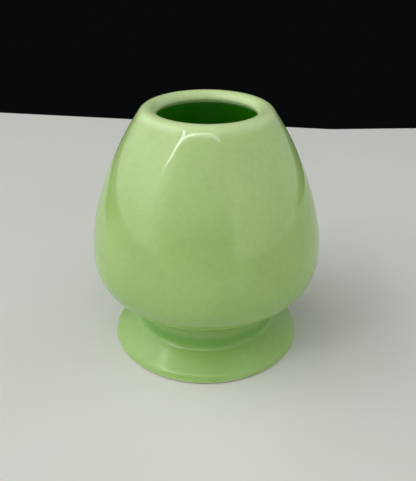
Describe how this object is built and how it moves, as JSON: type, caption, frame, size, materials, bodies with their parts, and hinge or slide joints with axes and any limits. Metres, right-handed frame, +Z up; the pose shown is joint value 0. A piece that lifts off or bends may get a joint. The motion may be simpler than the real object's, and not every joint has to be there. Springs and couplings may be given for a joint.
{
  "type": "tea whisk holder",
  "caption": "Glazed ceramic tea whisk holder: a hollow bulb with a narrow rolled mouth on a flared hollow foot.",
  "frame": {"origin": "centre of the foot ring, on the surface the holder stands on", "axes": "+Z up along the axis of revolution, through the mouth; +X and +Y are equivalent"},
  "size_m": [0.0646, 0.0646, 0.07],
  "materials": {
    "fired_clay": "matt fired stoneware clay, cream",
    "bare_clay": "matt bare fired clay, warm buff, smooth from sponging",
    "slip": "matt fired joining slip",
    "green_glaze": "smooth glossy light green glaze",
    "liner_glaze": "smooth glossy light green glaze, inside",
    "underside_glaze": "smooth glossy light green glaze, under the foot"
  },
  "bodies": {
    "root": {"body_shell": "fired_clay", "pedestal_foot": "bare_clay", "slip_joint": "slip", "outer_glaze": "green_glaze", "liner_glaze": "liner_glaze", "underside_glaze": "underside_glaze"}
  },
  "joints": []
}
